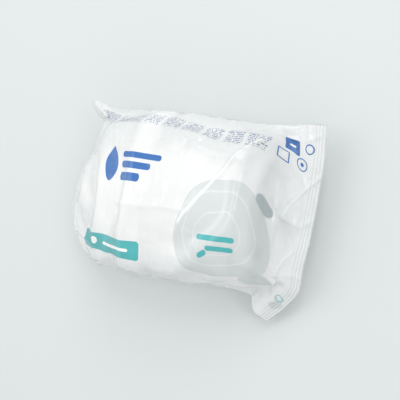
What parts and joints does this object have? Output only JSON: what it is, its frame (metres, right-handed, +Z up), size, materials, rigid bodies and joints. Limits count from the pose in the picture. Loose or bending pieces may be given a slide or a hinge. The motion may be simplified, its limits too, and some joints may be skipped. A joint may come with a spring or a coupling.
{
  "type": "wrapped water pitcher filter cartridge",
  "caption": "Oval water pitcher filter cartridge with a slotted dome and pull ring, sealed in a pouch of translucent film with a crimped seal at each end.",
  "frame": {"origin": "centre of the footprint, on the surface that the part lies on", "axes": "+X along the pouch from the cartridge's pull ring towards its foot, +Y across the pouch, +Z up out of the printed front"},
  "size_m": [0.1744, 0.1264, 0.066],
  "materials": {
    "film": "clear glossy film, 0.07 mm, slightly milky",
    "housing": "fine matte moulded white",
    "screen": "matte white",
    "fleece": "white needled fleece",
    "media": "loose granules, drawn as one solid"
  },
  "bodies": {
    "root": {"film_pouch": "film", "lower_housing": "housing", "upper_housing": "housing", "inlet_screen": "screen", "outlet_fleece": "fleece", "filter_media": "media"}
  },
  "joints": []
}
